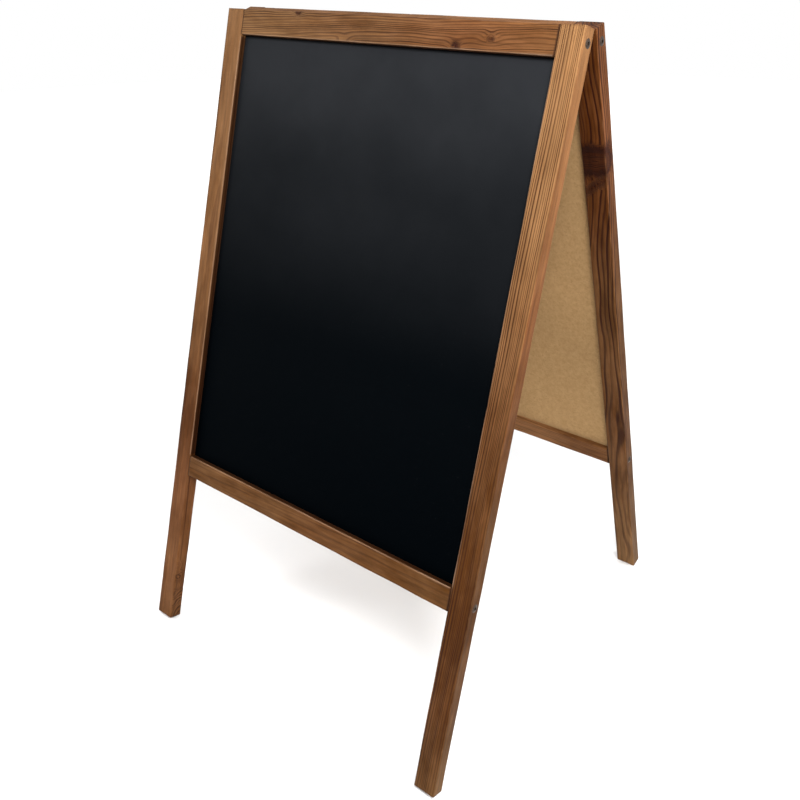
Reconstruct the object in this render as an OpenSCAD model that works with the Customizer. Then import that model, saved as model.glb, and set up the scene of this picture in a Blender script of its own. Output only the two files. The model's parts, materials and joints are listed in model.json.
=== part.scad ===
// Sandwich board: two identical timber frames, each holding a chalk panel, joined at the top
// by two butt hinges. Origin on the floor under the middle of the board, +Z up, front along -Y.

/* [Board] */
// Length of each stile, cut square at both ends
stile_length = 1000; // [800:5:1200]
// Width across the two stiles
board_width = 604; // [500:1:800]
// Angle between the two frames when the board stands open
open_angle = 34.2; // [24:0.1:44]

/* [Timber] */
// Width of a stile's outer face
stile_width = 34; // [30:1:50]
// Thickness of every frame member
timber_thickness = 21; // [19:0.5:28]
// Height of the top rail's face
top_rail_height = 36; // [34:1:60]
// Height of the bottom rail's face
bottom_rail_height = 34; // [30:1:60]
// Length of leg below the bottom rail
leg_length = 262; // [150:1:350]
// Radius of the eased long edges
edge_radius = 2; // [1.8:0.1:3]

/* [Panel] */
// Thickness of the hardboard panel
panel_thickness = 3; // [2.5:0.1:4]
// Depth of the chalk face behind the frame's outer face
panel_recess = 10; // [7:0.5:12]
// Depth of the groove that holds the panel's edges
groove_depth = 7; // [5:0.5:9]
// Gap on each face of the panel inside the groove
groove_play = 0.1; // [0.05:0.05:0.3]
// Room between the panel's edge and the bottom of the groove
edge_room = 1; // [0.5:0.5:2]

/* [Side screws] */
// Diameter of the raised countersunk head
side_head_diameter = 11.5; // [9:0.5:13]
// Height of the head's dome above the timber
side_head_dome = 1.2; // [0.6:0.1:2]
// Diameter of the shank and of the thread's crests
side_shank_diameter = 5; // [4:0.5:6]
// Length of the screw below the timber's surface
side_screw_length = 70; // [60:5:90]

/* [Hinges] */
// Distance of each hinge's middle from the middle of the board
hinge_offset = 180; // [100:5:200]
// Length of a hinge along its pin
hinge_length = 50; // [40:1:60]
// Depth of a leaf below the pin
leaf_depth = 20; // [18:0.5:26]
// Thickness of a leaf
leaf_thickness = 1; // [0.8:0.1:1.2]
// Diameter of the hinge pin
pin_diameter = 2; // [1.8:0.1:2.2]
// Height of the pin above the tops of the frames
pin_rise = 1; // [1:0.1:2]
// Gap between the two leaves of a folded hinge
leaf_gap = 0.4; // [0.4:0.1:0.8]
// Gap between neighbouring knuckles
knuckle_gap = 0.4; // [0.3:0.1:0.6]
// Radial clearance of the pin in the rear leaf's knuckles
pin_clearance = 0.05; // [0.02:0.01:0.1]
// Diameter of a leaf screw's head
leaf_head_diameter = 5.6; // [5:0.1:6]
// Diameter of a leaf screw's shank
leaf_shank_diameter = 3; // [2.6:0.1:3.4]
// Length of a leaf screw
leaf_screw_length = 13; // [10:1:15]

/* [Hidden] */
$fn = 48;
over = 1;                 // how far a cutter runs past the face that it cuts

timber_colour = "#8a5a34";
rail_colour = "#7d5230";
panel_colour = "#1c1f22";
side_screw_colour = "#3a3733";
leaf_colour = "#9a9c9e";
pin_colour = "#7c7e80";

left = -1;
right = 1;

// Each frame is drawn upright behind the pin: the pin along X through the origin, the frame
// hanging down from it, its inner face towards +Y. The two frames lean out from there.
half_angle = open_angle / 2;
inner_face = leaf_gap / 2 + leaf_thickness;
outer_face = inner_face + timber_thickness;
mid_thickness = (inner_face + outer_face) / 2;
frame_top = -pin_rise;
pin_height = (stile_length + pin_rise) * cos(half_angle) - inner_face * sin(half_angle);

rail_length = board_width - 2 * stile_width;
stile_centre = (board_width - stile_width) / 2;
bottom_rail_top = frame_top - stile_length + leg_length + bottom_rail_height;
panel_opening_top = frame_top - top_rail_height;

groove_front = outer_face - panel_recess + groove_play;
groove_width = panel_thickness + 2 * groove_play;
groove_bottom = bottom_rail_top - groove_depth;
groove_height = panel_opening_top + groove_depth - groove_bottom;

side_screw_heights = [frame_top - top_rail_height / 2, bottom_rail_top - bottom_rail_height / 2];
side_head_depth = 4;
side_core_ratio = 0.68;
side_thread_pitch = 2.6;
side_thread_length = 34;
side_socket_flats = 4;
side_socket_depth = 3;

pin_radius = pin_diameter / 2;
knuckle_radius = pin_radius + leaf_thickness;
knuckle_count = 5;
knuckle_pitch = hinge_length / knuckle_count;
front_knuckles = [0, 2, 4];
rear_knuckles = [1, 3];
pin_head_radius = 1.7;
pin_head_height = 0.8;

leaf_screw_spots = [[-17, -9], [0, -14.5], [17, -9]];
leaf_head_sink = 0.05;
leaf_head_depth = 1.3;
leaf_core_ratio = 0.7;
leaf_thread_pitch = 1.4;
leaf_thread_length = 8.4;
leaf_slot_width = 0.8;
leaf_slot_depth = 0.7;

// Places the front frame, leaning out towards -Y
module lean_front() {
    translate([0, 0, pin_height])
        rotate([-half_angle, 0, 0])
            children();
}

// Places the rear frame, the same frame turned half round
module lean_rear() {
    translate([0, 0, pin_height])
        rotate([0, 0, 180])
            rotate([-half_angle, 0, 0])
                children();
}

// A bar's section with its four long edges eased, centred on the origin
module eased_section(width, thickness) {
    square([width - 2 * edge_radius, thickness], center = true);
    square([width, thickness - 2 * edge_radius], center = true);
    for (x = [-1, 1], y = [-1, 1])
        translate([x * (width / 2 - edge_radius), y * (thickness / 2 - edge_radius)])
            circle(r = edge_radius);
}

// A screw pointing down from z = 0, where its countersunk head meets the surface.
// The thread is a row of ridges on a thinner core, and ends in a point.
module wood_screw(head_radius, head_depth, shank_radius, core_ratio, length, thread_length, pitch) {
    core_radius = shank_radius * core_ratio;
    ridge_count = floor(thread_length / pitch);
    thread_start = length - thread_length;
    tip_length = pitch * 2;
    ridges = [
        for (i = [0 : ridge_count - 3])
            each [
                [core_radius, -thread_start - i * pitch],
                [shank_radius, -thread_start - (i + 0.4) * pitch],
                [core_radius, -thread_start - (i + 0.8) * pitch]
            ]
    ];
    profile = concat(
        [[0, 0], [head_radius, 0], [shank_radius, -head_depth], [shank_radius, -thread_start + pitch / 2]],
        ridges,
        [[core_radius, -length + tip_length], [0, -length]]
    );
    rotate_extrude()
        polygon(profile);
}

// The hole that a wood_screw fills: a countersink and a straight bore
module screw_hole(head_radius, head_depth, shank_radius, length) {
    cylinder(h = over, r = head_radius);
    mirror([0, 0, 1]) {
        cylinder(h = length, r = shank_radius);
        cylinder(h = head_depth, r1 = head_radius, r2 = shank_radius);
    }
}

// Puts its children at each side screw's place, with -z running into the timber
module each_side_screw(sides) {
    for (side = sides, height = side_screw_heights)
        translate([side * board_width / 2, -mid_thickness, height])
            rotate([0, side * 90, 0])
                children();
}

module side_screw_hole() {
    screw_hole(side_head_diameter / 2, side_head_depth, side_shank_diameter / 2, side_screw_length);
}

// Puts its children at each leaf screw's place on both hinges, with -z running into the rail
module each_leaf_screw() {
    for (side = [left, right], spot = leaf_screw_spots)
        translate([side * hinge_offset + spot[0], -leaf_gap / 2 - leaf_head_sink, spot[1]])
            rotate([-90, 0, 0])
                children();
}

module leaf_screw_hole() {
    screw_hole(leaf_head_diameter / 2, leaf_head_depth, leaf_shank_diameter / 2, leaf_screw_length);
}

// The panel groove of a rail or a stile: a slot of the panel's thickness
module panel_groove(width, height, bottom) {
    translate([-width / 2, -groove_front, bottom])
        cube([width, groove_width, height]);
}

module stile(side) {
    groove_reach = rail_length + 2 * groove_depth;
    color(timber_colour)
        difference() {
            translate([side * stile_centre, -mid_thickness, frame_top - stile_length])
                linear_extrude(height = stile_length)
                    eased_section(stile_width, timber_thickness);
            panel_groove(groove_reach, groove_height, groove_bottom);
            each_side_screw([side])
                side_screw_hole();
        }
}

// A rail between the stiles, with its top at the given height
module rail(top, height) {
    translate([-rail_length / 2, -mid_thickness, top - height / 2])
        rotate([90, 0, 90])
            linear_extrude(height = rail_length)
                eased_section(timber_thickness, height);
}

module top_rail() {
    color(rail_colour)
        difference() {
            rail(frame_top, top_rail_height);
            panel_groove(rail_length + 2 * over, groove_depth + over, panel_opening_top - over);
            each_side_screw([left, right])
                side_screw_hole();
            each_leaf_screw()
                leaf_screw_hole();
        }
}

module bottom_rail() {
    color(rail_colour)
        difference() {
            rail(bottom_rail_top, bottom_rail_height);
            panel_groove(rail_length + 2 * over, groove_depth + over, groove_bottom);
            each_side_screw([left, right])
                side_screw_hole();
        }
}

module panel() {
    width = rail_length + 2 * (groove_depth - edge_room);
    height = groove_height - 2 * edge_room;
    color(panel_colour)
        translate([-width / 2, -outer_face + panel_recess, groove_bottom + edge_room])
            cube([width, panel_thickness, height]);
}

module side_screws() {
    head_radius = side_head_diameter / 2;
    dome_radius = (head_radius * head_radius + side_head_dome * side_head_dome) / (2 * side_head_dome);
    socket_radius = side_socket_flats / 2 / cos(30);
    color(side_screw_colour)
        each_side_screw([left, right])
            difference() {
                union() {
                    wood_screw(head_radius, side_head_depth, side_shank_diameter / 2, side_core_ratio,
                        side_screw_length, side_thread_length, side_thread_pitch);
                    intersection() {
                        translate([0, 0, side_head_dome - dome_radius])
                            sphere(r = dome_radius);
                        cylinder(h = side_head_dome + over, r = head_radius);
                    }
                }
                translate([0, 0, side_head_dome - side_socket_depth])
                    cylinder(h = side_socket_depth + over, r = socket_radius, $fn = 6);
            }
}

module leaf_screws() {
    color(leaf_colour)
        each_leaf_screw()
            difference() {
                wood_screw(leaf_head_diameter / 2, leaf_head_depth, leaf_shank_diameter / 2,
                    leaf_core_ratio, leaf_screw_length, leaf_thread_length, leaf_thread_pitch);
                for (turn = [0, 90])
                    rotate([0, 0, turn])
                        translate([-leaf_head_diameter / 4, -leaf_slot_width / 2, -leaf_slot_depth])
                            cube([leaf_head_diameter / 2, leaf_slot_width, leaf_slot_depth + over]);
            }
}

// A cylinder round the pin's line over one knuckle's length, with a gap at each end
module knuckle_barrel(index, radius, end_gap) {
    translate([-hinge_length / 2 + index * knuckle_pitch + end_gap, 0, 0])
        rotate([0, 90, 0])
            cylinder(h = knuckle_pitch - 2 * end_gap, r = radius);
}

// One leaf with its own knuckles, cut back round the other leaf's knuckles
module leaf(side, own_knuckles, other_knuckles, bore_radius) {
    color(leaf_colour)
        difference() {
            translate([side * hinge_offset, 0, 0])
                difference() {
                    union() {
                        translate([-hinge_length / 2 + knuckle_gap / 2, -inner_face, -leaf_depth])
                            cube([hinge_length - knuckle_gap, leaf_thickness, leaf_depth]);
                        for (index = own_knuckles)
                            knuckle_barrel(index, knuckle_radius, knuckle_gap / 2);
                    }
                    for (index = other_knuckles)
                        knuckle_barrel(index, knuckle_radius + knuckle_gap, -knuckle_gap / 2);
                    rotate([0, 90, 0])
                        cylinder(h = hinge_length + 2 * over, r = bore_radius, center = true);
                }
            each_leaf_screw()
                leaf_screw_hole();
        }
}

module pin(side) {
    color(pin_colour)
        translate([side * hinge_offset, 0, pin_height])
            rotate([0, 90, 0]) {
                cylinder(h = hinge_length, r = pin_radius, center = true);
                for (end = [-1, 1])
                    translate([0, 0, end * (hinge_length - knuckle_gap + pin_head_height) / 2])
                        cylinder(h = pin_head_height, r = pin_head_radius, center = true);
            }
}

module front_leaf(side) {
    lean_front()
        leaf(side, front_knuckles, rear_knuckles, pin_radius);
}

// The rear frame is turned half round, so its own left is the board's right
module rear_leaf(side) {
    lean_rear()
        leaf(-side, rear_knuckles, front_knuckles, pin_radius + pin_clearance);
}

module front_left_stile() { lean_front() stile(left); }
module front_right_stile() { lean_front() stile(right); }
module front_top_rail() { lean_front() top_rail(); }
module front_bottom_rail() { lean_front() bottom_rail(); }
module front_panel() { lean_front() panel(); }
module front_side_screws() { lean_front() side_screws(); }
module front_leaf_screws() { lean_front() leaf_screws(); }

module rear_left_stile() { lean_rear() stile(right); }
module rear_right_stile() { lean_rear() stile(left); }
module rear_top_rail() { lean_rear() top_rail(); }
module rear_bottom_rail() { lean_rear() bottom_rail(); }
module rear_panel() { lean_rear() panel(); }
module rear_side_screws() { lean_rear() side_screws(); }
module rear_leaf_screws() { lean_rear() leaf_screws(); }

module left_hinge_front_leaf() { front_leaf(left); }
module left_hinge_rear_leaf() { rear_leaf(left); }
module left_hinge_pin() { pin(left); }
module right_hinge_front_leaf() { front_leaf(right); }
module right_hinge_rear_leaf() { rear_leaf(right); }
module right_hinge_pin() { pin(right); }

front_left_stile();
front_right_stile();
front_top_rail();
front_bottom_rail();
front_panel();
front_side_screws();
rear_left_stile();
rear_right_stile();
rear_top_rail();
rear_bottom_rail();
rear_panel();
rear_side_screws();
left_hinge_front_leaf();
left_hinge_rear_leaf();
left_hinge_pin();
right_hinge_front_leaf();
right_hinge_rear_leaf();
right_hinge_pin();
front_leaf_screws();
rear_leaf_screws();
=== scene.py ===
"""A folding wooden sandwich board: timber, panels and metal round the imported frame, in metres."""

import json
import math

import bmesh
import bpy
import numpy as np
from mathutils import Matrix, Vector


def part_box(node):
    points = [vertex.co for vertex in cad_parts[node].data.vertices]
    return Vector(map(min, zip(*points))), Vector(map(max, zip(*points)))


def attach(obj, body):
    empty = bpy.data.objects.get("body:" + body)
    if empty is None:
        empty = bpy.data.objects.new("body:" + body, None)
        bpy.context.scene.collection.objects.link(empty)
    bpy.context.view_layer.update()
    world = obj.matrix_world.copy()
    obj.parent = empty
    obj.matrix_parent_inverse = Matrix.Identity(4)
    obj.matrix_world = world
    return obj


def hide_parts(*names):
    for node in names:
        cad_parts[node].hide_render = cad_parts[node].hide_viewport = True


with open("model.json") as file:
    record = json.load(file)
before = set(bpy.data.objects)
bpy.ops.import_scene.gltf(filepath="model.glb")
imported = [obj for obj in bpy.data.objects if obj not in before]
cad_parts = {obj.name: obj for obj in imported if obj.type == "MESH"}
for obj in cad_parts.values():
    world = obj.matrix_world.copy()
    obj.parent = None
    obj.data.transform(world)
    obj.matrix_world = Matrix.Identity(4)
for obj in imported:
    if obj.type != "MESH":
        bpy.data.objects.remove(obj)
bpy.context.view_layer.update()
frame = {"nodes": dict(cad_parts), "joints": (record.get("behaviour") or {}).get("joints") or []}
MM = 0.001
SIDES = ("front", "rear")
HANDS = ("left", "right")

# The two leaning frames, each drawn upright under the pin as in the CAD: x across the board,
# outer face towards -y, hanging down from z = 0.
FOLD = next(joint for joint in frame["joints"] if joint["name"] == "fold")
PIN = Vector(FOLD["pos_m"])
HALF_ANGLE = math.radians(FOLD["range_deg"][1]) / 2
LEAN = Matrix.Rotation(-HALF_ANGLE, 4, "X")
PLACE = {
    "front": Matrix.Translation(PIN) @ LEAN,
    "rear": Matrix.Translation(PIN) @ Matrix.Rotation(math.pi, 4, "Z") @ LEAN,
}

# How a bar is meshed
EASED_RADIUS = 2.0 * MM
END_RADIUS = 0.45 * MM
CELL_ACROSS = 1.0 * MM
CELL_ALONG = 4.0 * MM
ARC_STEPS = 3
SHARP_ANGLE = math.radians(40)

# How its arrises and faces are worn. A wave is how long the unevenness is across, deep and along.
RADIUS_SWAY = 0.22
RADIUS_WAVE = (1, 1, 90 * MM)
ARRISES_APART = 0.3
SURFACE_SWAY = 0.05 * MM
SURFACE_WAVE = (30 * MM, 30 * MM, 70 * MM)
DENT_SPACING = 60 * MM
DENT_REACH = 4.0 * MM
DENT_REACH_SPREAD = (0.5, 1.2)
DENT_DEPTH_MM = (0.15, 0.5)
DENT_NARROWED = 1.5

# The panel's groove and the screws' bores
GROOVE_DEPTH = 7.0 * MM
GROOVE_PLAY = 0.1 * MM
EDGE_ROOM = 1.0 * MM
BORE_RADIUS = 2.5 * MM
HEAD_RADIUS = 5.75 * MM
HEAD_DEPTH = 4.0 * MM
SCREW_LENGTH = 70.0 * MM
BORE_SIDES = 32

# The grain's unevenness, and how a knot bends and darkens the rings. A year's wave is in rings;
# a knot's rim, blend and push reach are in its radii.
SWAY_WAVE = (70 * MM, 70 * MM, 300 * MM)
CURL_WAVE = (30 * MM, 30 * MM, 80 * MM)
YEAR_SWAY, YEAR_WAVE = 0.5, (9.0,)
KNOT_SWAY, KNOT_WAVE = 0.1, (20 * MM, 20 * MM, 20 * MM)
KNOT_RING = 1.6 * MM
KNOT_LENGTHENED = 1.35
KNOT_RIM, KNOT_BLEND = 1.25, 0.5
PUSH_REACH = 2.1
DARK_FALL = 0.7
FAINT = 0.3

# What the stain does at the arrises and in the joints, with the painted highlight along the arris of
# the panel's recess and painted shade inside the recess
EDGE_REACH = 5 * MM
HIGHLIGHT_REACH = 1.1 * MM
RECESS_SHADE_START = 0.6 * EASED_RADIUS
INNER_FACE = 0.2 * MM
PAST_PANEL = 0.5 * MM
SEAM_DARK, SEAM_CLEAR = 0.9 * MM, 2.6 * MM
STILE_SEAM, RAIL_SEAM = 0.2, 0.9

# Each kind of unevenness draws from a seed of its own, so many above the bar's; the textures of
# two bars whose seeds differ by one are read this far apart, in metres.
RADIUS_DRAW, DENT_DRAW, SURFACE_DRAW, SWAY_DRAW, KNOT_DRAW, YEAR_DRAW, CURL_DRAW = range(7)
TEXTURES_APART = 0.7

# Each bar's wood:
#   pith    the tree's middle, across and behind the bar's own middle
#   slant   how far the pith drifts across in a metre
#   ring    the width of a year's ring
#   sway    how far the rings stray in long waves, and curl how far in short ones
#   seed    where its random draws start
#   tint    from -1, redder, to 1, greyer
#    tone    the stain, from 0, deep, to 1, pale, with painted light and shade along the bar
#   line    how strongly the latewood lines show
#   faint   the share of the lines left where a face runs along a ring, if it isn't FAINT
# Tint, tone and line are rows of values, evenly spaced from a stile's top or a rail's left end to
# the other end; a row whose name starts with side_ is added on the bar's narrow sides. A knot has
# its place across, deep and along, its radius and its axis, how far it pushes the rings round it,
# how dark it is (1 if not given), the width of its own rings, and a sweep: how far the rings bend
# beside it, and along what length.
# The tone rows, side_tone among them, hold painted light and shade as well as the stain: paler where
# the lamps fall, darker where shade falls in the fold between the frames, and the narrow sides
# lighter or darker than the faces as they are lit.
TIMBER = {
    "front_left_stile": dict(
        pith=(14 * MM, -62 * MM), slant=0.02, ring=3.0 * MM, sway=1.6 * MM, seed=11,
        tint=(0.55, 0.5, 0.5, 0.3, 0.3, -0.2, -0.6, -0.3, 0.0),
        tone=(0.46, 0.42, 0.38, 0.33, 0.14, 0.05, 0.26, 0.28, 0.22),
        line=(1.1, 1.1, 1.1, 1.0, 0.25),
        side_line=(0, 0, 0, 0, 0, 0, 0, 0.3, 1.7),
        knots=[
            dict(at=(17 * MM, 10 * MM, 1006 * MM), radius=60 * MM, axis=(1, 0, 0), push=0, dark=0,
                 ring=4.6 * MM),
        ],
    ),
    "front_right_stile": dict(
        pith=(78 * MM, 9 * MM), slant=-0.012, ring=2.9 * MM, sway=1.3 * MM, seed=23,
        tint=(0.75, 0.8, 0.8, 0.45, 0.15, 0.1, 0.0, 0.0, 0.9),
        side_tint=(-0.4, -0.8, -1.1, -1.1, -0.3, 0.6, 0.6, 0.5, 0.8),
        tone=(0.81, 0.67, 0.59, 0.47, 0.15, 0.05, 0.0, 0.06, 0.20),
        side_tone=(-0.13, -0.11, -0.18, -0.12, -0.02, 0.0, 0.05, 0.05, 0.08),
        line=(1.4,), knots=[],
    ),
    "front_top_rail": dict(
        pith=(-70 * MM, 14 * MM), slant=0.03, ring=3.0 * MM, sway=2.4 * MM, curl=0.8 * MM, seed=31,
        tint=(1.0, 1.0, 0.8, 0.6, 0.6, 0.1, -0.3, -0.1, 0.25),
        tone=(0.45, 0.40, 0.34, 0.28, 0.27, 0.24, 0.25, 0.30, 0.28),
        line=(1.5,),
        knots=[
            dict(at=(18 * MM, 0, 115 * MM), radius=3.5 * MM, axis=(0.1, 1, 0), push=4 * MM, dark=0.9),
            dict(at=(-22 * MM, 0, 208 * MM), radius=5 * MM, axis=(0.2, 1, 0), push=12 * MM, dark=0.6),
            dict(at=(-7 * MM, 0, 397 * MM), radius=4 * MM, axis=(0.7, 1, 0.1), push=6 * MM, dark=0.6),
            dict(at=(-4 * MM, 0, 446 * MM), radius=4 * MM, axis=(-0.1, 1, 0), push=5 * MM, dark=0.5),
        ],
    ),
    "front_bottom_rail": dict(
        pith=(-30 * MM, -60 * MM), slant=0.04, ring=3.2 * MM, sway=1.8 * MM, seed=43,
        tint=(0.55, 0.6, 0.6, 0.6, 0.3, 0.25, 0.5, 0.65, 0.7),
        tone=(0.15, 0.22, 0.20, 0.13, 0.11, 0.12, 0.13, 0.10, 0.05),
        line=(0.9,), knots=[],
    ),
    "rear_left_stile": dict(
        pith=(60 * MM, 30 * MM), slant=0.02, ring=2.8 * MM, sway=1.5 * MM, seed=53,
        tint=(0.3, 0.0, -0.2, 0.1, 0.4),
        tone=(0.50, 0.45, 0.33, 0.30, 0.38),
        line=(1.0,), knots=[],
    ),
    "rear_right_stile": dict(
        pith=(-35 * MM, -40 * MM), slant=0.03, ring=3.8 * MM, sway=3.0 * MM, curl=1.2 * MM, seed=61,
        tint=(-0.8, -1.0, -0.6, 0.4, 0.5, 0.2, 0.6, 0.9, 1.0),
        tone=(0.10, 0.04, 0.05, 0.22, 0.22, 0.17, 0.22, 0.37, 0.55),
        side_tone=(0.15, 0.23, 0.18, 0.03, -0.03, -0.03, -0.05, -0.12, -0.20),
        line=(1.5, 1.5, 1.4, 0.9, 0.7), faint=0.75,
        knots=[
            dict(at=(-17 * MM, 9 * MM, 166 * MM), radius=13 * MM, axis=(1, 0.1, 0.1), push=-4 * MM,
                 sweep=(8 * MM, 75 * MM)),
            dict(at=(-4 * MM, 10 * MM, 200 * MM), radius=4 * MM, axis=(1, 0.1, 0.6), push=0,
                 dark=0.42),
        ],
    ),
    "rear_top_rail": dict(
        pith=(-60 * MM, -20 * MM), slant=0.02, ring=2.8 * MM, sway=1.8 * MM, seed=71,
        tint=(0.0, 0.3, 0.1),
        tone=(0.42, 0.40, 0.40, 0.38, 0.40),
        line=(1.0,),
        knots=[dict(at=(-6 * MM, 0, 330 * MM), radius=4 * MM, axis=(0.2, 1, 0), push=5 * MM)],
    ),
    "rear_bottom_rail": dict(
        pith=(-50 * MM, 40 * MM), slant=0.03, ring=3.0 * MM, sway=1.6 * MM, seed=83,
        tint=(0.1,),
        tone=(0.33, 0.23, 0.75, 0.65, 0.50, 0.40, 0.32, 0.30, 0.30),
        line=(1.0,), knots=[],
    ),
}

# The timber's colours, in linear red, green and blue. REDDER, GREYER, LATEWOOD and KNOT multiply
# the stain's colour, and the rest are laid over it.
DEEP_STAIN, PALE_STAIN = (0.061, 0.0192, 0.0025), (0.258, 0.119, 0.047)
REDDER, GREYER = (1.02, 0.86, 0.80), (1.0, 1.14, 1.16)
LATEWOOD, KNOT = (0.27, 0.19, 0.15), (0.26, 0.15, 0.13)
FLECK, WORN = (0.028, 0.011, 0.005), (0.26, 0.135, 0.062)
# The first two of these are a painted highlight along the arris of the panel's recess and painted
# shade inside the recess; the last is the joints' dark stain.
PAINTED_HIGHLIGHT, PAINTED_RECESS_SHADE, SEAM = (0.36, 0.235, 0.155), (0.018, 0.0055, 0.0020), (0.024, 0.009, 0.004)

# The panel's colours: its painted face, with a painted reflection that pales it towards the top,
# chalk specks and a painted shadow just under the top rail; then its bare face
BLACK_PAINT, PAINTED_REFLECTION = (0.0002, 0.0007, 0.0012), (0.0143, 0.0153, 0.0172)
CHALK_SPECK, PAINTED_RAIL_SHADOW = (0.02, 0.02, 0.021), (0.0008, 0.0008, 0.0010)
BROWN_BOARD, PALE_BOARD = (0.27, 0.165, 0.074), (0.335, 0.212, 0.099)
BOARD_FIBRE = (0.19, 0.110, 0.050)

# Ramps: (place, grey) stops. The latewood's runs over one year's ring, the knot's over nearness
# to a knot, and the painted reflection's up the panel.
LATEWOOD_STOPS = ((0, 0), (0.42, 0.10), (0.68, 0.95), (0.88, 1), (1, 0))
KNOT_STOPS = ((0.12, 0), (0.32, 0.45), (0.50, 1.0), (0.62, 0.92), (1, 0.75))
REFLECTION_STOPS = ((0, 0.0), (0.36, 0.04), (0.70, 0.40), (1, 1))

# The timber's noises: scale across, deep and along, per metre, then detail and roughness
WOOD_NOISE = {
    "wander": ((90, 90, 9), 2.0, 0.5),
    "patch": ((30, 30, 5), 2.0, 0.5),
    "fibre": ((1500, 1500, 45), 3.0, 0.6),
    "streak": ((260, 260, 9), 3.0, 0.6),
    "fleck": ((2600, 2600, 160), 1.0, 0.5),
    "blotch": ((45, 45, 14), 4.0, 0.55),
    "splinter": ((420, 420, 130), 4.0, 0.7),
    "wear": ((180, 180, 40), 3.0, 0.5),
}

# What a noise texture mostly keeps within
NOISE_SPAN = (0.3, 0.7)

# Each metal's darker and lighter colour, its roughness, and how much its scratches show
METALS = {
    "dark_screw": ((0.028, 0.018, 0.013), (0.085, 0.058, 0.042), 0.46, 0.35),
    "zinc_screw": ((0.42, 0.43, 0.44), (0.62, 0.62, 0.61), 0.30, 0.4),
    "hinge_steel": ((0.36, 0.37, 0.38), (0.55, 0.55, 0.55), 0.34, 0.6),
    "hinge_pin": ((0.30, 0.31, 0.32), (0.48, 0.48, 0.48), 0.28, 0.4),
}
SCRATCH_LIFT = 2.2

# The camera looks at a point on the board's middle plane
CAMERA_AZIMUTH = math.radians(37.905)
CAMERA_ELEVATION = math.radians(25.577)
CAMERA_ROLL = math.radians(-0.566)
CAMERA_DISTANCE = 1.3061
AIM = Vector((0.0640, 0.0, 0.4762))
SENSOR_WIDTH_MM = 36.0
LENS_MM = 38.455
SHIFT = (-0.0415, -0.0534)

# The studio. The floor starts to glow at one share of its radius and glows in full at another.
FLOOR_RADIUS = 7.0
FLOOR_SIDES = 128
RIM_GLOW = 0.42
GLOW_FROM, GLOW_FULL = 0.15, 0.6
WHITE, SOFT = 1.0, 0.6
SOFT_FROM = 0.30

# Each lamp's place, the point it looks at, its side and its power in watts
LAMPS = {
    "near_lamp": ((0.90, -0.75, 1.55), (0.25, -0.1, 0.75), 0.45, 28),
    "window": ((-1.75, -1.80, 1.75), (0, -0.1, 0.6), 1.1, 40),
    "side_fill": ((1.7, 0.4, 1.7), (0.3, 0.0, 0.8), 0.7, 21),
    "overhead": ((-3.0, 5.0, 7.5), (-3.0, 4.6, 0), 7.0, 260),
}


# ---- Geometry ----

def upright(node, side):
    """Lowest and highest corner of a CAD node with its frame stood upright under the pin."""
    back = PLACE[side].inverted()
    corners = np.array([back @ v.co for v in frame["nodes"][node].data.vertices])
    return corners.min(axis=0), corners.max(axis=0)


class Bar:
    """A timber bar's wood and size. Its own axes are across, deep and along, from the middle of
    a stile's top or a rail's left end."""

    def __init__(self, name):
        self.side = name.split("_")[0]
        self.wood = TIMBER[name]
        self.is_stile = name.endswith("stile")
        self.long, self.wide = (2, 0) if self.is_stile else (0, 2)
        self.low, self.high = upright(name, self.side)
        self.middle = (self.low + self.high) / 2
        self.length = self.high[self.long] - self.low[self.long]
        self.half = (self.high - self.low)[[self.wide, 1]] / 2

    def to_upright(self, points):
        """From the bar's own axes to the upright frame's."""
        at = np.empty_like(points)
        across, deep, along = points.T
        at[:, self.wide] = across + self.middle[self.wide]
        at[:, 1] = deep + self.middle[1]
        at[:, self.long] = self.high[2] - along if self.is_stile else self.low[0] + along
        return at

    def from_upright(self, at):
        """From the upright frame's axes to the bar's own."""
        points = np.empty_like(at)
        points[:, 0] = at[:, self.wide] - self.middle[self.wide]
        points[:, 1] = at[:, 1] - self.middle[1]
        points[:, 2] = self.high[2] - at[:, 2] if self.is_stile else at[:, 0] - self.low[0]
        return points


def wobble(points, lengths, seed, waves=12):
    """Smooth noise, mostly within -1 and 1, with its own wavelength along each axis."""
    draw = np.random.default_rng(seed)
    ways = draw.normal(size=(waves, len(lengths)))
    ways *= draw.uniform(0.6, 1.4, (waves, 1)) / np.linalg.norm(ways, axis=1, keepdims=True)
    turns = points / np.array(lengths) * math.tau
    return np.sin(turns @ ways.T + draw.uniform(0, math.tau, waves)).sum(axis=1) / math.sqrt(waves)


def spaced(half):
    """Columns across one face: the eased edges' steps, with even cells between them."""
    flat = half - EASED_RADIUS
    arc = [EASED_RADIUS * math.tan(math.pi / 4 * i / ARC_STEPS) for i in range(1, ARC_STEPS + 1)]
    cells = max(2, round(2 * flat / CELL_ACROSS))
    middle = np.linspace(-flat, flat, cells + 1)
    return np.concatenate([[-flat - t for t in reversed(arc)], middle, [flat + t for t in arc]])


def stations(length):
    """Places along the bar with their inset: a quarter circle at each end, even cells between."""
    turn = [math.pi / 2 * i / ARC_STEPS for i in range(ARC_STEPS, 0, -1)]
    ends = [(END_RADIUS * (1 - math.sin(a)), END_RADIUS * (1 - math.cos(a))) for a in turn]
    cells = round((length - 2 * END_RADIUS) / CELL_ALONG)
    middle = [(s, 0.0) for s in np.linspace(END_RADIUS, length - END_RADIUS, cells + 1)]
    return np.array(ends + middle + [(length - s, inset) for s, inset in reversed(ends)])


def grid_faces(rows):
    """Quads between neighbouring rows of vertex numbers."""
    a, b = rows[:-1, :-1], rows[:-1, 1:]
    c, d = rows[1:, 1:], rows[1:, :-1]
    return np.stack([a, b, c, d], axis=-1).reshape(-1, 4)


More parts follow.
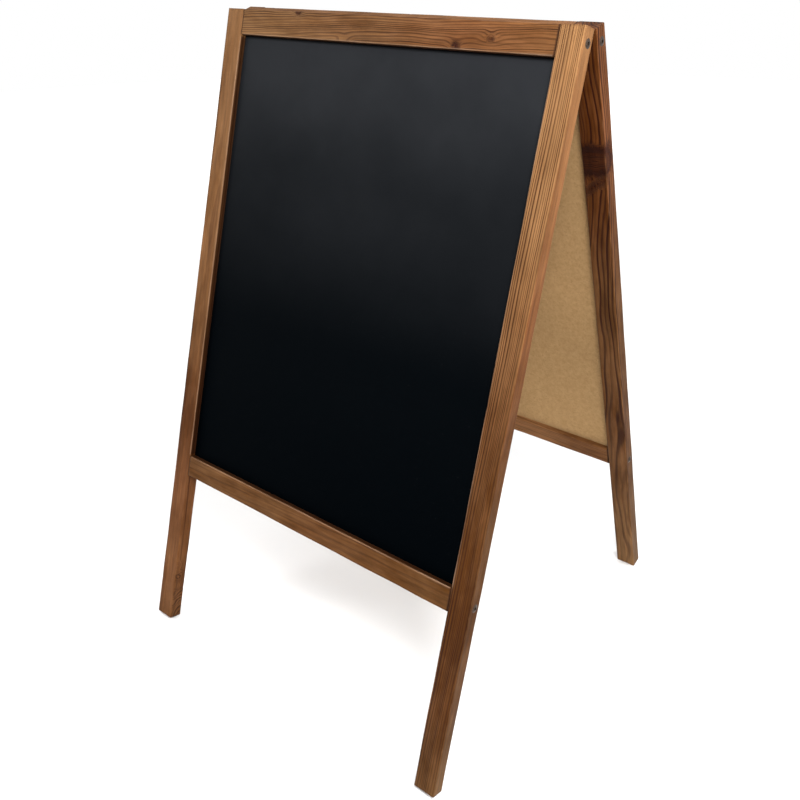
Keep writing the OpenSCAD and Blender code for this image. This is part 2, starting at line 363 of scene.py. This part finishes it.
def loop_columns(xs, ys):
    """Column numbers (i, j) once round the section, as two arrays."""
    last_x, last_y = len(xs) - 1, len(ys) - 1
    i = [*range(last_x), *[last_x] * last_y, *range(last_x, 0, -1), *[0] * last_y]
    j = [*[0] * last_x, *range(last_y), *[last_y] * last_x, *range(last_y, 0, -1)]
    return np.array(i), np.array(j)


def arris_gap(across, deep, half):
    """How far points of the surface are from the nearest arris."""
    return np.maximum(half[0] - np.abs(across), half[1] - np.abs(deep))


def eased_point(x, y, half, radius, inset):
    """Where a point of the square section goes once its corner has the given radius."""
    flat = half - EASED_RADIUS
    over = np.stack([np.abs(x) - flat[0], np.abs(y) - flat[1]])
    sign = np.stack([np.sign(x), np.sign(y)])
    corner = (over > -1e-9).all(axis=0)
    reach = np.linalg.norm(over, axis=0)
    way = np.where(corner, over / np.maximum(reach, 1e-9), (over >= over.max(axis=0)) * 1.0)
    centre = half[:, None] - radius
    flat_side = np.stack([np.abs(x), np.abs(y)]) - inset * way
    return np.where(corner, centre + (radius - inset) * way, flat_side) * sign


def dents(length, seed):
    """Small knocks along the arrises: corner, place along, depth and reach."""
    draw = np.random.default_rng(seed)
    return [
        (draw.choice([-1, 1], 2), draw.uniform(0, length), draw.uniform(*DENT_DEPTH_MM) * MM,
         draw.uniform(*DENT_REACH_SPREAD) * DENT_REACH)
        for _ in range(int(length / DENT_SPACING))
    ]


def worn_inset(points, inset, half, length, seed):
    """The ends' inset, with the knocks on the arrises and the faces' unevenness added to it."""
    x, y, s = points.T
    knocked = np.zeros(len(s))
    for corner, place, depth, reach in dents(length, seed + DENT_DRAW):
        near = (np.sign(x) == corner[0]) & (np.sign(y) == corner[1])
        aside = DENT_NARROWED * arris_gap(x, y, half)
        away = ((s - place) ** 2 + aside ** 2) / reach ** 2
        knocked += np.where(near, depth * np.exp(-away * 2), 0)
    sway = SURFACE_SWAY * (1 + wobble(points, SURFACE_WAVE, seed + SURFACE_DRAW))
    return inset + knocked + np.maximum(sway, 0)


def worn_sides(x, y, half, length, seed):
    """The bar's long surface, eased and worn: rows of points round the section, end to end."""
    along, inset = stations(length).T
    rows, around = len(along), len(x)
    s, inset = np.repeat(along, around), np.repeat(inset, around)
    x, y = np.tile(x, rows), np.tile(y, rows)
    key = np.stack([np.sign(x) * ARRISES_APART, np.sign(y) * ARRISES_APART, s], axis=1)
    radius = EASED_RADIUS * (1 + RADIUS_SWAY * wobble(key, RADIUS_WAVE, seed + RADIUS_DRAW))
    inset = worn_inset(np.stack([x, y, s], axis=1), inset, half, length, seed)
    across, deep = eased_point(x, y, half, radius, inset)
    return np.stack([across, deep, s], axis=1).reshape(rows, around, 3)


def bar_points(half, length, seed):
    """Points, in the bar's own axes, and quads of a closed, eased and worn bar."""
    xs, ys = spaced(half[0]), spaced(half[1])
    gx, gy = np.meshgrid(xs, ys, indexing="ij")
    i, j = loop_columns(xs, ys)
    sides = worn_sides(xs[i], ys[j], half, length, seed)
    numbers = np.arange(sides.shape[0] * sides.shape[1]).reshape(sides.shape[:2])
    closed = np.concatenate([numbers, numbers[:, :1]], axis=1)
    points, faces = [sides.reshape(-1, 3)], [grid_faces(closed)]
    total = numbers.size
    for row in (0, -1):
        number = np.full((len(xs), len(ys)), -1)
        number[i, j] = numbers[row]
        inner = number < 0
        count = int(inner.sum())
        number[inner] = total + np.arange(count)
        total += count
        cap = np.stack([gx[inner], gy[inner]], axis=1) * (1 - END_RADIUS / half.min())
        points.append(np.column_stack([cap, np.full(count, sides[row, 0, 2])]))
        cap_faces = grid_faces(number)
        faces.append(cap_faces if row == 0 else cap_faces[:, ::-1])
    return np.concatenate(points), np.concatenate(faces)


def cutter_box(low, high):
    """Corners and faces of a box."""
    xs, ys, zs = zip(low, high)
    corners = [(x, y, z) for x in xs for y in ys for z in zs]
    faces = [(0, 1, 3, 2), (4, 6, 7, 5), (0, 4, 5, 1), (2, 3, 7, 6), (0, 2, 6, 4), (1, 5, 7, 3)]
    return corners, faces


def cutter_bore(hand, height, depth, outer_x):
    """A turned plug for one side screw's countersunk bore, running in from the outer face."""
    profile = [
        (HEAD_RADIUS, -MM), (HEAD_RADIUS, 0), (BORE_RADIUS, HEAD_DEPTH), (BORE_RADIUS, SCREW_LENGTH),
    ]
    turns = [math.tau * k / BORE_SIDES for k in range(BORE_SIDES)]
    corners = [
        (hand * (outer_x - along), depth + radius * math.cos(a), height + radius * math.sin(a))
        for radius, along in profile for a in turns
    ]
    faces = [
        (row * BORE_SIDES + k, row * BORE_SIDES + (k + 1) % BORE_SIDES,
         (row + 1) * BORE_SIDES + (k + 1) % BORE_SIDES, (row + 1) * BORE_SIDES + k)
        for row in range(len(profile) - 1) for k in range(BORE_SIDES)
    ]
    last = (len(profile) - 1) * BORE_SIDES
    faces += [tuple(range(BORE_SIDES)), tuple(range(last, last + BORE_SIDES))]
    return corners, faces


def cutters_for(bar):
    """The panel's groove, and the bores of the side screws that go through this bar."""
    low, high = upright(f"{bar.side}_panel", bar.side)
    play = np.array([EDGE_ROOM, GROOVE_PLAY, EDGE_ROOM])
    found = [cutter_box(low - play, high + play)]
    outer_x = max(upright(f"{bar.side}_{hand}_stile", bar.side)[1][0] for hand in HANDS)
    for rail in ("top_rail", "bottom_rail"):
        rail_low, rail_high = upright(f"{bar.side}_{rail}", bar.side)
        height = (rail_low[2] + rail_high[2]) / 2
        for hand in (-1, 1):
            own = bar.low[0] * hand > 0 if bar.is_stile else bar.low[2] < height < bar.high[2]
            if own:
                found.append(cutter_bore(hand, height, bar.middle[1], outer_x))
    return found


def turn_outwards(mesh):
    """Turns every face of a closed mesh outwards."""
    work = bmesh.new()
    work.from_mesh(mesh)
    bmesh.ops.recalc_face_normals(work, faces=work.faces)
    work.to_mesh(mesh)
    work.free()


def cut(piece, cutters):
    """Takes the cutters, which don't touch each other, away from the piece for good."""
    corners, faces = [], []
    for part_corners, part_faces in cutters:
        faces += [tuple(len(corners) + k for k in face) for face in part_faces]
        corners += part_corners
    mesh = bpy.data.meshes.new("cutter")
    mesh.from_pydata(corners, [], faces)
    turn_outwards(mesh)
    tool = bpy.data.objects.new("cutter", mesh)
    bpy.context.scene.collection.objects.link(tool)
    step = piece.modifiers.new("cut", "BOOLEAN")
    step.operation, step.solver, step.object = "DIFFERENCE", "EXACT", tool
    shown = piece.evaluated_get(bpy.context.evaluated_depsgraph_get())
    piece.data = bpy.data.meshes.new_from_object(shown)
    piece.modifiers.clear()
    bpy.data.objects.remove(tool)


# ---- Wood grain, worked out at each vertex ----

def knot_distance(points, knot):
    """Distance from the knot's axis, in knot radii; a knot is a little longer with the grain."""
    axis = np.array(knot["axis"], float)
    axis /= np.linalg.norm(axis)
    away = (points - np.array(knot["at"])) / np.array([1, 1, KNOT_LENGTHENED])
    away -= np.outer(away @ axis, axis)
    return np.linalg.norm(away, axis=1) / knot["radius"]


def narrow_side(bar, points):
    """Which points are on a bar's narrow sides rather than its two wide faces."""
    return bar.half[0] - np.abs(points[:, 0]) < bar.half[1] - np.abs(points[:, 1])


def crossing(bar, points):
    """How squarely the rings meet the surface: 0 where a face runs along one, 1 where it cuts it."""
    across, deep, _ = points.T
    pith_across, pith_deep = bar.wood["pith"]
    out = np.stack([across - pith_across, deep - pith_deep])
    out /= np.linalg.norm(out, axis=0)
    square = np.where(narrow_side(bar, points), out[0], out[1])
    return np.sqrt(np.clip(1 - square ** 2, 0, 1))


def grain(wood, points):
    """Ring number and nearness to a knot, from 0 to 1, at points of a bar."""
    seed = wood["seed"]
    across, deep, along = points.T
    drift = wood["pith"][0] + wood["slant"] * (along - along.mean())
    radius = np.hypot(across - drift, deep - wood["pith"][1])
    radius += wood["sway"] * wobble(points, SWAY_WAVE, seed + SWAY_DRAW)
    radius += wood.get("curl", 0) * wobble(points, CURL_WAVE, seed + CURL_DRAW)
    near = np.zeros(len(points))
    inside = np.zeros(len(points))
    inner_rings = np.zeros(len(points))
    for knot in wood["knots"]:
        uneven = 1 + KNOT_SWAY * wobble(points, KNOT_WAVE, seed + KNOT_DRAW)
        gap = knot_distance(points, knot) * uneven
        radius += knot["push"] * np.exp(-((gap / PUSH_REACH) ** 2))
        sweep, reach = knot.get("sweep", (0, 1))
        radius += sweep * np.exp(-(((along - knot["at"][2]) / reach) ** 2))
        near = np.maximum(near, knot.get("dark", 1.0) * np.exp(-DARK_FALL * gap ** 2))
        share = np.clip((KNOT_RIM - gap) / KNOT_BLEND, 0, 1)
        own_rings = gap * knot["radius"] / knot.get("ring", KNOT_RING)
        inner_rings = np.where(share > 0, own_rings, inner_rings)
        inside = np.maximum(inside, share)
    rings = radius / wood["ring"]
    rings += YEAR_SWAY * wobble(rings[:, None], YEAR_WAVE, seed + YEAR_DRAW)
    return rings * (1 - inside) + inner_rings * inside, near


def recess(bar, points):
    """How far into the panel's recess a point of the inner side is, for painted shade there, and how
    near its arris, for a painted highlight.
    """
    panel_low, panel_high = upright(f"{bar.side}_panel", bar.side)
    shown = bar.from_upright(np.array([panel_low + GROOVE_DEPTH, panel_high - GROOVE_DEPTH]))
    start, stop = sorted(shown[:, 2])
    hand = np.sign((panel_low + panel_high)[bar.wide] - (bar.low + bar.high)[bar.wide])
    across, deep, along = points.T
    inward = bar.half[0] - across * hand
    behind = deep + bar.half[1]
    ahead = panel_low[1] - bar.low[1] - behind
    beside = np.clip((along - start) / MM + 0.5, 0, 1) * np.clip((stop - along) / MM + 0.5, 0, 1)
    # Painted shade on the inner side inside the recess, and a painted highlight along its arris
    recess_shade = np.clip((behind - RECESS_SHADE_START) / MM, 0, 1) * (inward < INNER_FACE) * (ahead > -PAST_PANEL)
    painted_highlight = np.exp(-((inward / HIGHLIGHT_REACH) ** 2) - (behind / HIGHLIGHT_REACH) ** 2)
    return recess_shade * beside, painted_highlight * beside


def along_bar(bar, points, name):
    """One of the wood's rows of values along a bar, with the row its narrow sides add, if any."""
    def read(values):
        return np.interp(points[:, 2], np.linspace(0, bar.length, len(values)), values)

    return read(bar.wood[name]) + narrow_side(bar, points) * read(bar.wood.get("side_" + name, (0,)))


def store(mesh, name, values):
    """Keeps one number or one vector per vertex for the materials."""
    kind, key = ("FLOAT", "value") if values.ndim == 1 else ("FLOAT_VECTOR", "vector")
    slot = mesh.attributes.new(name, kind, "POINT")
    slot.data.foreach_set(key, values.astype(np.float32).ravel())


def keep_grain(bar, mesh, points):
    """Stores what the timber's material needs to know at each point of a bar."""
    rings, near = grain(bar.wood, points)
    recess_shade, painted_highlight = recess(bar, points)
    across, deep, along = points.T
    faint = bar.wood.get("faint", FAINT)
    strength = faint + (1 - faint) * crossing(bar, points) ** 2
    values = {
        "place": points + np.array([0, 0, bar.wood["seed"] * TEXTURES_APART]),
        "rings": rings,
        "knot": near,
        "edge": np.clip(arris_gap(across, deep, bar.half) / EDGE_REACH, 0, 1),
        "end": np.minimum(along, bar.length - along),
        "seam": np.full(len(points), STILE_SEAM if bar.is_stile else RAIL_SEAM),
        # Painted shade inside the panel's recess, and a painted highlight along its arris
        "recess_shade": recess_shade,
        "painted_highlight": painted_highlight,
        # The stain's tone, with painted light and shade along the bar and on its narrow sides
        "tone": along_bar(bar, points, "tone"),
        "tint": along_bar(bar, points, "tint"),
        "line": strength * along_bar(bar, points, "line"),
    }
    for name, kept_values in values.items():
        store(mesh, name, kept_values)


def timber_bar(name):
    """One timber bar in place of its CAD node, with its grain kept on its vertices."""
    bar = Bar(name)
    side = bar.side
    points, faces = bar_points(bar.half, bar.length, bar.wood["seed"])
    mesh = bpy.data.meshes.new(name)
    mesh.from_pydata(bar.to_upright(points).tolist(), [], faces.tolist())
    made = bpy.data.objects.new(name + "_timber", mesh)
    bpy.context.scene.collection.objects.link(made)
    turn_outwards(mesh)
    cut(made, cutters_for(bar))

    mesh = made.data
    mesh.name = made.name
    flat = np.empty(len(mesh.vertices) * 3)
    mesh.vertices.foreach_get("co", flat)
    keep_grain(bar, mesh, bar.from_upright(flat.reshape(-1, 3)))
    mesh.transform(PLACE[side])
    mesh.shade_smooth()
    mesh.set_sharp_from_angle(angle=SHARP_ANGLE)
    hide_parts(name)
    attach(made, side + "_frame")
    return made


# ---- Node helpers ----

def fresh(name):
    """A new material, its node tree and its Principled shader."""
    material = bpy.data.materials.new(name)
    material.use_nodes = True
    return material, material.node_tree, material.node_tree.nodes["Principled BSDF"]


def add(tree, kind, inputs=None, **settings):
    """A node with its settings, whose inputs are plain values or other nodes' sockets."""
    made = tree.nodes.new("ShaderNode" + kind)
    for name, value in settings.items():
        setattr(made, name, value)
    for key, value in (inputs or {}).items():
        if isinstance(value, bpy.types.NodeSocket):
            tree.links.new(value, made.inputs[key])
        else:
            made.inputs[key].default_value = value
    return made


def calculated(tree, operation, a, b=0.0):
    """One Math node's result."""
    return add(tree, "Math", {0: a, 1: b}, operation=operation).outputs[0]


def plus(tree, a, b):
    """Two values added together."""
    return calculated(tree, "ADD", a, b)


def times(tree, product, *others):
    """Values multiplied together."""
    for other in others:
        product = calculated(tree, "MULTIPLY", product, other)
    return product


def ramp(tree, factor, stops):
    """A smooth ramp through (place, grey) stops."""
    made = add(tree, "ValToRGB", {"Fac": factor})
    made.color_ramp.interpolation = "EASE"
    points = made.color_ramp.elements
    while len(points) < len(stops):
        points.new(0.5)
    for point, (place, grey) in zip(points, stops):
        point.position = place
        point.color = (grey, grey, grey, 1)
    return made.outputs["Color"]


def blend_colour(tree, factor, a, b, how="MIX"):
    """Colour a with b laid over it."""
    made = add(tree, "Mix", data_type="RGBA", blend_type=how)
    for key, value in ((0, factor), (6, a), (7, b)):
        if isinstance(value, bpy.types.NodeSocket):
            tree.links.new(value, made.inputs[key])
        else:
            made.inputs[key].default_value = value if key == 0 else (*value, 1)
    return made.outputs[2]


def multiplied(tree, colour, other):
    """Two colours multiplied together."""
    return blend_colour(tree, 1.0, colour, other, "MULTIPLY")


def grey_colour(tree, value):
    """A grey with the given value in each channel."""
    return add(tree, "CombineColor", {0: value, 1: value, 2: value}).outputs[0]


def noise(tree, where, scale, detail=3.0, roughness=0.5):
    """A noise texture's value, about 0.5 on average."""
    given = {"Vector": where, "Scale": scale, "Detail": detail, "Roughness": roughness}
    return add(tree, "TexNoise", given).outputs["Fac"]


def stretched(tree, where, scale):
    """Coordinates times a scale along each axis."""
    return add(tree, "VectorMath", {0: where, 1: scale}, operation="MULTIPLY").outputs[0]


def kept(tree, name, output="Fac"):
    """A value kept on the mesh by store()."""
    return add(tree, "Attribute", attribute_name=name).outputs[output]


def scaled(tree, value, low, high, to_low, to_high):
    """A value moved from one range to another, and held there."""
    given = {"Value": value, 1: low, 2: high, 3: to_low, 4: to_high}
    return add(tree, "MapRange", given).outputs[0]


def swing(tree, field, low, high):
    """The span that a noise mostly keeps to, moved to the one from low to high."""
    return scaled(tree, field, *NOISE_SPAN, low, high)


def bump(tree, height, distance, strength, under=None):
    """A Bump node's normal, laid over another one if given."""
    given = {"Height": height, "Distance": distance, "Strength": strength}
    if under is not None:
        given["Normal"] = under
    return add(tree, "Bump", given).outputs["Normal"]


# ---- Stained timber ----

def wood_noise(tree, name):
    """One of the timber's noises, drawn out along the grain."""
    scale, detail, roughness = WOOD_NOISE[name]
    place = kept(tree, "place", "Vector")
    return noise(tree, stretched(tree, place, scale), 1.0, detail, roughness)


def latewood_lines(tree):
    """The rings' dark lines, stronger in some years than in others and patchy along the grain."""
    rings = plus(tree, kept(tree, "rings"), times(tree, wood_noise(tree, "wander"), 0.55))
    latewood = ramp(tree, calculated(tree, "FRACT", rings), LATEWOOD_STOPS)
    year = add(tree, "TexWhiteNoise", {"W": calculated(tree, "FLOOR", rings)}, noise_dimensions="1D")
    strong = scaled(tree, year.outputs["Value"], 0, 1, 0.3, 1.15)
    patchy = swing(tree, wood_noise(tree, "patch"), 0.6, 1.1)
    return times(tree, latewood, strong, patchy, kept(tree, "line"))


def stain(tree, blotch, fibre, streak):
    """The stain's colour: paler or deeper, with painted light and shade in its tone, redder or
    greyer, and shaded by the fibres.
    """
    paleness = plus(tree, kept(tree, "tone"), swing(tree, blotch, -0.16, 0.16))
    colour = blend_colour(tree, paleness, DEEP_STAIN, PALE_STAIN)
    greyness = scaled(tree, kept(tree, "tint"), -1, 1, 0, 1)
    redder, greyer = multiplied(tree, colour, REDDER), multiplied(tree, colour, GREYER)
    colour = blend_colour(tree, greyness, redder, greyer)
    fibres = plus(tree, times(tree, fibre, 0.4), times(tree, streak, 0.6))
    return multiplied(tree, colour, grey_colour(tree, swing(tree, fibres, 0.62, 1.36)))


def knot_shade(tree):
    """How dark the wood is in and round a knot, with a ragged rim."""
    knot = kept(tree, "knot")
    splinter = calculated(tree, "SUBTRACT", wood_noise(tree, "splinter"), 0.5)
    ragged = times(tree, splinter, scaled(tree, knot, 0.05, 0.3, 0, 0.8))
    return ramp(tree, plus(tree, knot, ragged), KNOT_STOPS)


def arris_wear(tree):
    """Where the stain is rubbed thin, in patches along the arrises."""
    patches = scaled(tree, wood_noise(tree, "wear"), 0.45, 0.65, 0, 1)
    arris = scaled(tree, kept(tree, "edge"), 0.0, 0.32, 1, 0)
    return times(tree, patches, arris, 0.45)


def seam_shade(tree):
    """The dark stain that gathers at a bar's ends, in the joints."""
    by_the_end = scaled(tree, kept(tree, "end"), SEAM_DARK, SEAM_CLEAR, 1, 0)
    return times(tree, by_the_end, kept(tree, "seam"))


def stained_timber():
    """Stained softwood: latewood lines, fibres, blotches, knots and worn arrises, with painted light
    and shade along the bars, painted shade in the panel's recess and a painted highlight on its
    arris.
    """
    material, tree, shader = fresh("stained_timber")
    line = latewood_lines(tree)
    blotch, fibre, streak = (wood_noise(tree, name) for name in ("blotch", "fibre", "streak"))
    fleck = scaled(tree, wood_noise(tree, "fleck"), 0.66, 0.76, 0, 1)

    colour = stain(tree, blotch, fibre, streak)
    layers = (
        (line, LATEWOOD, "MULTIPLY"),
        (times(tree, fleck, 0.35), FLECK, "MIX"),
        (knot_shade(tree), KNOT, "MULTIPLY"),
        (arris_wear(tree), WORN, "MIX"),
        # A painted highlight along the recess's arris, then painted shade inside the recess
        (times(tree, kept(tree, "painted_highlight"), 0.6), PAINTED_HIGHLIGHT, "MIX"),
        (times(tree, kept(tree, "recess_shade"), 0.85), PAINTED_RECESS_SHADE, "MIX"),
        (seam_shade(tree), SEAM, "MIX"),
    )
    for amount, laid, how in layers:
        colour = blend_colour(tree, amount, colour, laid, how)
    tree.links.new(colour, shader.inputs["Base Color"])

    rough = plus(tree, swing(tree, blotch, 0.56, 0.42), times(tree, fibre, 0.12))
    tree.links.new(rough, shader.inputs["Roughness"])
    shader.inputs["Specular IOR Level"].default_value = 0.06
    relief = bump(tree, streak, 0.25 * MM, 0.5)
    relief = bump(tree, fibre, 0.12 * MM, 0.6, relief)
    relief = bump(tree, line, 0.18 * MM, 0.6, relief)
    tree.links.new(bump(tree, fleck, -0.1 * MM, 0.5, relief), shader.inputs["Normal"])
    return material


# ---- Chalk board, metal and floor ----

def outer_face(tree, side):
    """1 on the panel's outer face and 0 on its inner one."""
    outward = (PLACE[side].to_3x3() @ Vector((0, -1, 0))).normalized()
    given = {0: add(tree, "TexCoord").outputs["Normal"], 1: outward}
    facing = add(tree, "VectorMath", given, operation="DOT_PRODUCT")
    return scaled(tree, facing.outputs["Value"], 0.4, 0.6, 0, 1)


def black_paint(tree, place, side):
    """Satin black with a painted reflection that pales it towards the top, chalky specks, and a
    painted shadow just under the top rail.
    """
    low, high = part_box(f"{side}_panel")
    height = add(tree, "SeparateXYZ", {0: place}).outputs["Z"]
    rise = scaled(tree, height, low.z, high.z, 0, 1)
    cloudy = scaled(tree, noise(tree, place, 7.0, 4.0, 0.6), 0.25, 0.75, 0.75, 1.25)
    # Painted reflection: the black grows paler towards the top of the panel
    painted_reflection = times(tree, ramp(tree, rise, REFLECTION_STOPS), cloudy)
    speck = scaled(tree, noise(tree, place, 420.0, 2.0), 0.72, 0.80, 0, 0.5)
    # Painted shadow in a thin band just under the top rail
    painted_rail_shadow = scaled(tree, rise, 0.9845, 0.9895, 0, 0.9)
    colour = blend_colour(tree, painted_reflection, BLACK_PAINT, PAINTED_REFLECTION)
    colour = blend_colour(tree, speck, colour, CHALK_SPECK)
    return blend_colour(tree, painted_rail_shadow, colour, PAINTED_RAIL_SHADOW)


def bare_board(tree, place, fibre):
    """Brown hardboard, mottled and faintly cloudy, with darker fibres."""
    mottle = noise(tree, place, 140.0, 4.0, 0.65)
    cloud = noise(tree, place, 5.0, 2.0)
    colour = blend_colour(tree, swing(tree, mottle, 0, 1), BROWN_BOARD, PALE_BOARD)
    colour = blend_colour(tree, scaled(tree, fibre, 0.52, 0.72, 0, 0.5), colour, BOARD_FIBRE)
    return multiplied(tree, colour, grey_colour(tree, swing(tree, cloud, 0.9, 1.08)))


def chalk_hardboard(side):
    """Hardboard painted satin black on its outer face, bare and mottled inside."""
    material, tree, shader = fresh(f"chalk_hardboard_{side}")
    place = add(tree, "TexCoord").outputs["Object"]
    painted = outer_face(tree, side)
    fibre = noise(tree, place, 330.0, 4.0, 0.65)
    bare, black = bare_board(tree, place, fibre), black_paint(tree, place, side)
    tree.links.new(blend_colour(tree, painted, bare, black), shader.inputs["Base Color"])

    black_rough = swing(tree, noise(tree, place, 25.0, 3.0), 0.44, 0.50)
    rough = add(tree, "Mix", {0: painted, 2: 0.78, 3: black_rough})
    tree.links.new(rough.outputs[0], shader.inputs["Roughness"])
    shader.inputs["Specular IOR Level"].default_value = 0.006
    relief = bump(tree, fibre, 0.12 * MM, 0.5)
    grit = noise(tree, place, 900.0, 2.0)
    tree.links.new(bump(tree, grit, 0.03 * MM, 0.5, relief), shader.inputs["Normal"])
    return material


def metal(name):
    """Screw, hinge and pin metal: a mottled finish with fine scratches and dulled patches."""
    dark, light, rough, scratch = METALS[name]
    bright = tuple(min(1.0, channel * SCRATCH_LIFT) for channel in light)
    material, tree, shader = fresh(name)
    place = add(tree, "TexCoord").outputs["Object"]
    mottle = noise(tree, place, 700.0, 4.0, 0.6)
    patch = noise(tree, place, 160.0, 3.0)
    scratches = noise(tree, stretched(tree, place, (300, 5200, 5200)), 1.0, 2.0)
    colour = blend_colour(tree, swing(tree, mottle, 0, 1), dark, light)
    colour = blend_colour(tree, scaled(tree, scratches, 0.6, 0.75, 0, scratch), colour, bright)
    tree.links.new(colour, shader.inputs["Base Color"])
    shader.inputs["Metallic"].default_value = 0.85
    dull = swing(tree, patch, rough - 0.08, rough + 0.12)
    tree.links.new(dull, shader.inputs["Roughness"])
    relief = bump(tree, mottle, 0.05 * MM, 0.5)
    tree.links.new(bump(tree, scratches, 0.02 * MM, 0.5, relief), shader.inputs["Normal"])
    return material


def floor_paint():
    """The plain pale floor, faintly lit towards its rim so that it meets the white surroundings."""
    material, tree, shader = fresh("floor_paint")
    place = add(tree, "TexCoord").outputs["Object"]
    paleness = swing(tree, noise(tree, place, 3.0, 3.0), 0.91, 0.93)
    tree.links.new(grey_colour(tree, paleness), shader.inputs["Base Color"])
    shader.inputs["Roughness"].default_value = 0.9
    shader.inputs["Specular IOR Level"].default_value = 0.1
    out = add(tree, "VectorMath", {0: place}, operation="LENGTH").outputs["Value"]
    start, full = GLOW_FROM * FLOOR_RADIUS, GLOW_FULL * FLOOR_RADIUS
    given = {"Value": out, 1: start, 2: full, 3: 0, 4: RIM_GLOW}
    glow = add(tree, "MapRange", given, interpolation_type="SMOOTHSTEP").outputs[0]
    tree.links.new(glow, shader.inputs["Emission Strength"])
    shader.inputs["Emission Color"].default_value = (1, 1, 1, 1)
    return material


# ---- The board ----

def give(node, material):
    """Puts a material on every face of a CAD node."""
    mesh = frame["nodes"][node].data
    mesh.materials.clear()
    mesh.materials.append(material)


def timber():
    """All eight bars, in one stained wood."""
    finish = stained_timber()
    for name in TIMBER:
        timber_bar(name).data.materials.append(finish)


def panels_and_metal():
    """The CAD nodes that stay, each in its own finish."""
    for side in SIDES:
        give(f"{side}_panel", chalk_hardboard(side))
    finish = {name: metal(name) for name in METALS}
    for side in SIDES:
        give(f"{side}_side_screws", finish["dark_screw"])
        give(f"{side}_leaf_screws", finish["zinc_screw"])
        for hand in HANDS:
            give(f"{hand}_hinge_{side}_leaf", finish["hinge_steel"])
    for hand in HANDS:
        give(f"{hand}_hinge_pin", finish["hinge_pin"])


# ---- The studio ----

def floor():
    """A round pale floor under the board's feet."""
    work = bmesh.new()
    bmesh.ops.create_circle(work, cap_ends=True, segments=FLOOR_SIDES, radius=FLOOR_RADIUS)
    mesh = bpy.data.meshes.new("floor")
    work.to_mesh(mesh)
    work.free()
    mesh.materials.append(floor_paint())
    made = bpy.data.objects.new("floor", mesh)
    bpy.context.scene.collection.objects.link(made)


def surroundings():
    """A pale room: white at and below the horizon, softer above."""
    world = bpy.data.worlds.new("studio")
    world.use_nodes = True
    tree = world.node_tree
    upward = add(tree, "SeparateXYZ", {0: add(tree, "TexCoord").outputs["Generated"]}).outputs["Z"]
    shade = ramp(tree, upward, [(0, WHITE), (SOFT_FROM, SOFT), (1, SOFT)])
    tree.links.new(shade, tree.nodes["Background"].inputs["Color"])
    bpy.context.scene.world = world


def soft_light(name, at, aim, size, watts):
    """A square area light that looks at a point."""
    data = bpy.data.lights.new(name, "AREA")
    data.shape, data.size, data.energy = "SQUARE", size, watts
    lamp = bpy.data.objects.new(name, data)
    lamp.location = at
    lamp.rotation_euler = (Vector(aim) - Vector(at)).to_track_quat("-Z", "Y").to_euler()
    bpy.context.scene.collection.objects.link(lamp)


def studio():
    """Pale surroundings and soft lamps, with colours shown as they are."""
    surroundings()
    bpy.context.scene.view_settings.view_transform = "Standard"
    for name, lamp in LAMPS.items():
        soft_light(name, *lamp)


def camera():
    """The camera at the board's front right, slightly above its top."""
    back = Vector((
        math.sin(CAMERA_AZIMUTH) * math.cos(CAMERA_ELEVATION),
        -math.cos(CAMERA_AZIMUTH) * math.cos(CAMERA_ELEVATION),
        math.sin(CAMERA_ELEVATION),
    ))
    data = bpy.data.cameras.new("camera")
    data.sensor_width, data.lens = SENSOR_WIDTH_MM, LENS_MM
    data.shift_x, data.shift_y = SHIFT
    eye = bpy.data.objects.new("camera", data)
    eye.location = AIM + back * CAMERA_DISTANCE
    level = (-back).to_track_quat("-Z", "Y").to_matrix().to_4x4()
    turned = level @ Matrix.Rotation(CAMERA_ROLL, 4, "Z")
    eye.rotation_euler = turned.to_euler()
    bpy.context.scene.collection.objects.link(eye)
    bpy.context.scene.camera = eye


timber()
panels_and_metal()
floor()
studio()
camera()
